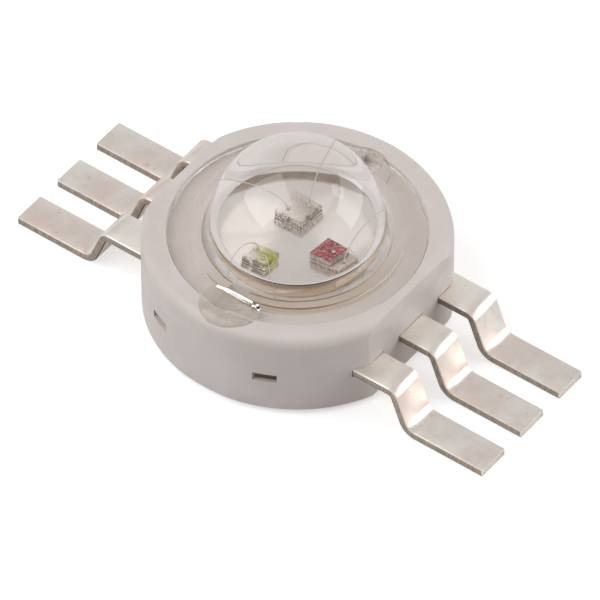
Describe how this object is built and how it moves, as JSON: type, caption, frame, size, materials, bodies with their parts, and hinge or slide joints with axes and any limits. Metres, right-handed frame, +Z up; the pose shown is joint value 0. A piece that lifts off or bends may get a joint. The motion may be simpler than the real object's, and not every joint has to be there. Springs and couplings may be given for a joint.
{
  "type": "power led emitter",
  "caption": "Bare three-colour power light emitter: round plastic housing, clear dome lens and gull-wing leads.",
  "frame": {"origin": "centre of the heat slug's flat underside, in one plane with the undersides of the feet", "axes": "+X along the leads, +Y towards the back row of leads, +Z up through the dome lens"},
  "size_m": [0.0148, 0.008, 0.0052],
  "materials": {
    "housing_plastic": "semi-matt, slightly translucent",
    "plated_metal": "satin tin or silver plating",
    "slug_metal": "bright plating",
    "lens_clear": "clear polished polymer",
    "gel_clear": "clear silicone",
    "wire_gold": "bright gold",
    "solder_grey": "dull",
    "submount_silver": "bright",
    "chip_red": "polished",
    "chip_green": "polished",
    "chip_blue": "polished"
  },
  "bodies": {
    "root": {"housing": "housing_plastic", "heat_slug": "slug_metal", "lens": "lens_clear", "gel_fill": "gel_clear", "lead_left_front": "plated_metal", "lead_left_middle": "plated_metal", "lead_left_back": "plated_metal", "lead_right_front": "plated_metal", "lead_right_middle": "plated_metal", "lead_right_back": "plated_metal", "wire_red_top": "wire_gold", "wire_red_base": "wire_gold", "wire_green_front": "wire_gold", "wire_green_side": "wire_gold", "wire_blue_side": "wire_gold", "wire_blue_back": "wire_gold", "chip_red": "chip_red", "chip_green": "chip_green", "chip_blue": "chip_blue", "solder_red": "solder_grey", "solder_green": "solder_grey", "solder_blue": "solder_grey", "submount_red": "submount_silver"}
  },
  "joints": []
}
